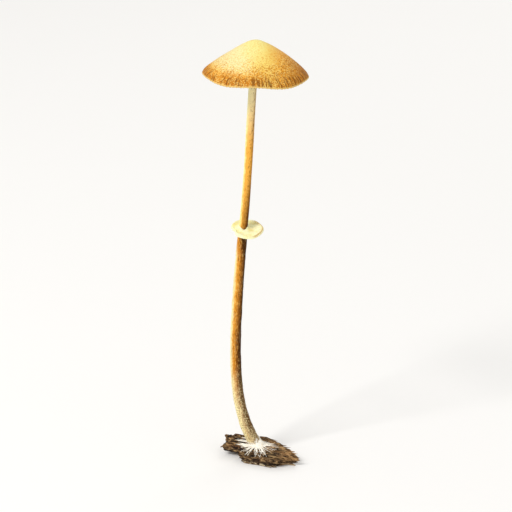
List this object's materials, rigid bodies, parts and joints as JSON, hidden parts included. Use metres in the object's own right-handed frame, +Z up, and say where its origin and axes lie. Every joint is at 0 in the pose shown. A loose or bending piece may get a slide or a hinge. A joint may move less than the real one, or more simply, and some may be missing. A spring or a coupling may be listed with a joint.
{
  "type": "ringed cone-capped mushroom on a scrap of rotten wood",
  "caption": "Slender mushroom with a low cone cap, gills and a tilted ring on its bowed stem, standing on the scrap of rotten wood it grew from.",
  "frame": {"origin": "on the ground under the middle of the cap, in the plane of the wood's flat underside", "axes": "+Z up along the mushroom, +X to the right and +Y away from the viewer of the drawing; the foot of the stem leans towards +X"},
  "size_m": [0.0242, 0.0242, 0.1003],
  "materials": {
    "cap_skin": "honey yellow at the top, brown at the furrowed margin, finely granular, slightly moist",
    "gill_brown": "matt ochre brown with paler edges",
    "stem_tan": "tan above, brown and silvery-fibrous towards the foot",
    "ring_cream": "soft cream skin with fine radial grooves",
    "rotten_wood": "dark rotten wood, split along the grain",
    "mycelium_white": "matt white felted strands"
  },
  "bodies": {
    "root": {"cap": "cap_skin", "gills": "gill_brown", "stem": "stem_tan", "ring": "ring_cream", "wood": "rotten_wood", "mycelium": "mycelium_white"}
  },
  "joints": []
}
